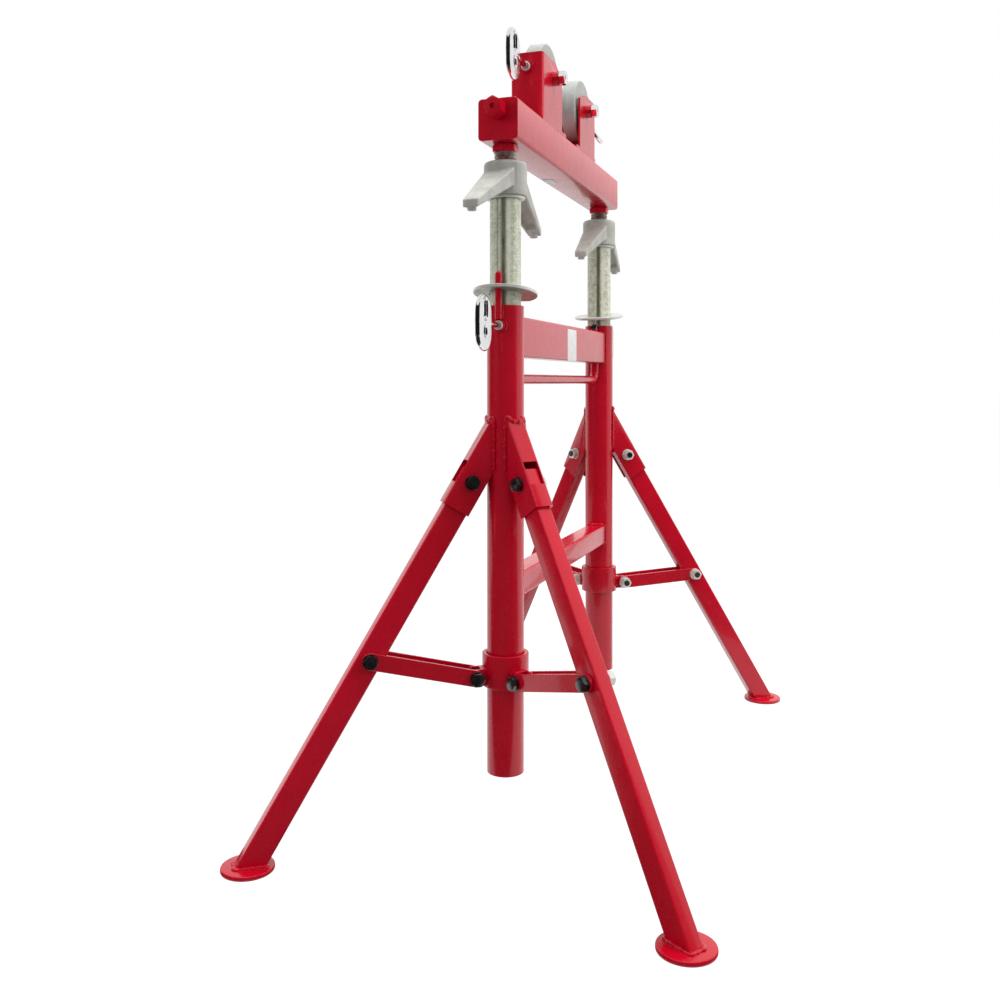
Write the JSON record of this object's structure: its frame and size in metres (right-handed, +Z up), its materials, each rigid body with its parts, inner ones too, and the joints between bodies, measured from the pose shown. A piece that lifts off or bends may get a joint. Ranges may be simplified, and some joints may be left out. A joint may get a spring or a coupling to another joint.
{
  "type": "pipe jack stand",
  "caption": "Folding pipe stand: height-adjustable posts on spread legs carry a beam whose roller carriages move apart on a screw to cradle a pipe.",
  "frame": {"origin": "on the floor, midway between the two posts, at the bottom centre of the bounding box", "axes": "+Z up; +X from the near post to the far post along the beam; +Y across the beam, to the left seen from the near post"},
  "size_m": [1.1296, 0.705, 1.272],
  "materials": {
    "red_paint": "glossy red powder coat",
    "zinc": "dull zinc plating",
    "chrome": "polished chrome",
    "black_steel": "black oxide",
    "cast_grey": "fine cast surface, grey coat",
    "grey_wheel": "smooth light grey"
  },
  "bodies": {
    "frame": {"near_post": "red_paint", "far_post": "red_paint", "upper_crossbar": "red_paint", "lower_crossbar": "red_paint", "carry_handle": "red_paint", "near_guide_bolt": "zinc", "far_guide_bolt": "zinc", "near_right_leg_bracket": "red_paint", "near_right_pivot_bolt": "black_steel", "near_left_leg_bracket": "red_paint", "near_left_pivot_bolt": "black_steel", "far_left_leg_bracket": "red_paint", "far_left_pivot_bolt": "zinc", "far_right_leg_bracket": "red_paint", "far_right_pivot_bolt": "zinc"},
    "near_right_leg": {"near_right_leg": "red_paint", "near_right_foot_plate": "red_paint"},
    "near_left_leg": {"near_left_leg": "red_paint", "near_left_foot_plate": "red_paint"},
    "near_collar": {"near_collar": "red_paint", "near_left_link_bolt": "black_steel", "near_right_link_bolt": "black_steel"},
    "near_right_link": {"near_right_outer_link": "red_paint", "near_right_inner_link": "red_paint"},
    "near_left_link": {"near_left_outer_link": "red_paint", "near_left_inner_link": "red_paint"},
    "near_clutch_disc": {"near_clutch_disc": "zinc"},
    "near_post_pull_pin": {"near_post_pull_pin": "chrome"},
    "far_left_leg": {"far_left_leg": "red_paint", "far_left_foot_plate": "red_paint"},
    "far_right_leg": {"far_right_leg": "red_paint", "far_right_foot_plate": "red_paint"},
    "far_collar": {"far_collar": "red_paint", "far_left_link_bolt": "zinc", "far_right_link_bolt": "zinc"},
    "far_left_link": {"far_left_outer_link": "red_paint", "far_left_inner_link": "red_paint"},
    "far_right_link": {"far_right_outer_link": "red_paint", "far_right_inner_link": "red_paint"},
    "far_clutch_disc": {"far_clutch_disc": "zinc"},
    "far_post_pull_pin": {"far_post_pull_pin": "chrome"},
    "inner_tubes": {"near_inner_tube": "zinc", "far_inner_tube": "zinc", "near_thrust_ring": "zinc", "far_thrust_ring": "zinc"},
    "near_wing_nut": {"near_wing_nut": "cast_grey"},
    "far_wing_nut": {"far_wing_nut": "cast_grey"},
    "head": {"beam": "red_paint", "near_lift_screw": "red_paint", "far_lift_screw": "red_paint"},
    "adjusting_screw": {"adjusting_screw": "red_paint"},
    "near_carriage": {"near_carriage": "red_paint", "near_axle": "zinc"},
    "near_wheel": {"near_wheel": "grey_wheel"},
    "near_carriage_pull_pin": {"near_carriage_pull_pin": "chrome"},
    "far_carriage": {"far_carriage": "red_paint", "far_axle": "zinc"},
    "far_wheel": {"far_wheel": "grey_wheel"},
    "far_carriage_pull_pin": {"far_carriage_pull_pin": "chrome"}
  },
  "joints": [
    {"name": "near_right_leg_fold", "type": "hinge", "parent": "frame", "child": "near_right_leg", "pos_m": [-0.33435, -0.04647, 0.5473], "axis": [0.8125, -0.583, 0], "range_deg": [0, 14.03]},
    {"name": "near_left_leg_fold", "type": "hinge", "parent": "frame", "child": "near_left_leg", "pos_m": [-0.33435, 0.04647, 0.5473], "axis": [-0.8125, -0.583, 0], "range_deg": [0, 14.03]},
    {"name": "near_collar_slide", "type": "slide", "parent": "frame", "child": "near_collar", "axis": [0, 0, -1], "range_m": [0, 0.1285]},
    {"name": "near_right_link_swing", "type": "hinge", "parent": "near_collar", "child": "near_right_link", "pos_m": [-0.33021, -0.04071, 0.25], "axis": [-0.8125, 0.583, 0], "range_deg": [0, 41.8]},
    {"name": "near_left_link_swing", "type": "hinge", "parent": "near_collar", "child": "near_left_link", "pos_m": [-0.33021, 0.04071, 0.25], "axis": [0.8125, 0.583, 0], "range_deg": [0, 41.8]},
    {"name": "near_clutch_disc_tilt", "type": "hinge", "parent": "frame", "child": "near_clutch_disc", "pos_m": [-0.33375, 0, 0.84278], "axis": [0, -1, 0], "range_deg": [0, 10]},
    {"name": "near_post_pin_pull", "type": "slide", "parent": "frame", "child": "near_post_pull_pin", "axis": [-1, 0, 0], "range_m": [0, 0.01], "stiffness_N_per_m": 800, "springref_m": -0.008},
    {"name": "far_left_leg_fold", "type": "hinge", "parent": "frame", "child": "far_left_leg", "pos_m": [0.33435, 0.04647, 0.5473], "axis": [-0.8125, 0.583, 0], "range_deg": [0, 15.1]},
    {"name": "far_right_leg_fold", "type": "hinge", "parent": "frame", "child": "far_right_leg", "pos_m": [0.33435, -0.04647, 0.5473], "axis": [0.8125, 0.583, 0], "range_deg": [0, 15.1]},
    {"name": "far_collar_slide", "type": "slide", "parent": "frame", "child": "far_collar", "axis": [0, 0, -1], "range_m": [0, 0.1585]},
    {"name": "far_left_link_swing", "type": "hinge", "parent": "far_collar", "child": "far_left_link", "pos_m": [0.33021, 0.04071, 0.28], "axis": [0.8125, -0.583, 0], "range_deg": [0, 53.36]},
    {"name": "far_right_link_swing", "type": "hinge", "parent": "far_collar", "child": "far_right_link", "pos_m": [0.33021, -0.04071, 0.28], "axis": [-0.8125, -0.583, 0], "range_deg": [0, 53.36]},
    {"name": "far_clutch_disc_tilt", "type": "hinge", "parent": "frame", "child": "far_clutch_disc", "pos_m": [0.33375, 0, 0.84278], "axis": [0, 1, 0], "range_deg": [0, 10]},
    {"name": "far_post_pin_pull", "type": "slide", "parent": "frame", "child": "far_post_pull_pin", "axis": [1, 0, 0], "range_m": [0, 0.01], "stiffness_N_per_m": 800, "springref_m": -0.008},
    {"name": "tube_slide", "type": "slide", "parent": "frame", "child": "inner_tubes", "axis": [0, 0, 1], "range_m": [-0.1, 0.3]},
    {"name": "near_wing_nut_turn", "type": "hinge", "parent": "inner_tubes", "child": "near_wing_nut", "pos_m": [-0.301, 0, 1], "axis": [0, 0, 1], "range_deg": [-720, 4320]},
    {"name": "far_wing_nut_turn", "type": "hinge", "parent": "inner_tubes", "child": "far_wing_nut", "pos_m": [0.301, 0, 1], "axis": [0, 0, 1], "range_deg": [-720, 4320]},
    {"name": "head_lift", "type": "slide", "parent": "inner_tubes", "child": "head", "axis": [0, 0, 1], "range_m": [-0.012, 0.072]},
    {"name": "adjusting_screw_turn", "type": "hinge", "parent": "head", "child": "adjusting_screw", "pos_m": [0, 0, 1.1115], "axis": [1, 0, 0], "range_deg": [-1800, 5760]},
    {"name": "near_carriage_slide", "type": "slide", "parent": "head", "child": "near_carriage", "axis": [-1, 0, 0], "range_m": [-0.03, 0.096]},
    {"name": "near_wheel_spin", "type": "hinge", "parent": "near_carriage", "child": "near_wheel", "pos_m": [-0.13, 0, 1.213], "axis": [0, 1, 0], "continuous": true},
    {"name": "near_carriage_pin_pull", "type": "slide", "parent": "near_carriage", "child": "near_carriage_pull_pin", "axis": [-1, 0, 0], "range_m": [0, 0.01], "stiffness_N_per_m": 800, "springref_m": -0.008},
    {"name": "far_carriage_slide", "type": "slide", "parent": "head", "child": "far_carriage", "axis": [1, 0, 0], "range_m": [-0.03, 0.096]},
    {"name": "far_wheel_spin", "type": "hinge", "parent": "far_carriage", "child": "far_wheel", "pos_m": [0.092, 0, 1.213], "axis": [0, 1, 0], "continuous": true},
    {"name": "far_carriage_pin_pull", "type": "slide", "parent": "far_carriage", "child": "far_carriage_pull_pin", "axis": [1, 0, 0], "range_m": [0, 0.01], "stiffness_N_per_m": 800, "springref_m": -0.008}
  ],
  "couplings": [
    {"joint": "near_right_leg_fold", "follows": "near_left_leg_fold", "ratio": 1},
    {"joint": "near_collar_slide", "follows": "near_left_leg_fold", "m_per_rad": 0.52453},
    {"joint": "near_right_link_swing", "follows": "near_left_leg_fold", "ratio": 2.9783},
    {"joint": "near_left_link_swing", "follows": "near_left_leg_fold", "ratio": 2.9783},
    {"joint": "far_right_leg_fold", "follows": "far_left_leg_fold", "ratio": 1},
    {"joint": "far_collar_slide", "follows": "far_left_leg_fold", "m_per_rad": 0.60126},
    {"joint": "far_left_link_swing", "follows": "far_left_leg_fold", "ratio": 3.5331},
    {"joint": "far_right_link_swing", "follows": "far_left_leg_fold", "ratio": 3.5331},
    {"joint": "far_wing_nut_turn", "follows": "near_wing_nut_turn", "ratio": 1},
    {"joint": "head_lift", "follows": "near_wing_nut_turn", "m_per_rad": 0.00095493},
    {"joint": "near_carriage_slide", "follows": "adjusting_screw_turn", "m_per_rad": 0.00095493},
    {"joint": "far_carriage_slide", "follows": "adjusting_screw_turn", "m_per_rad": 0.00095493}
  ]
}
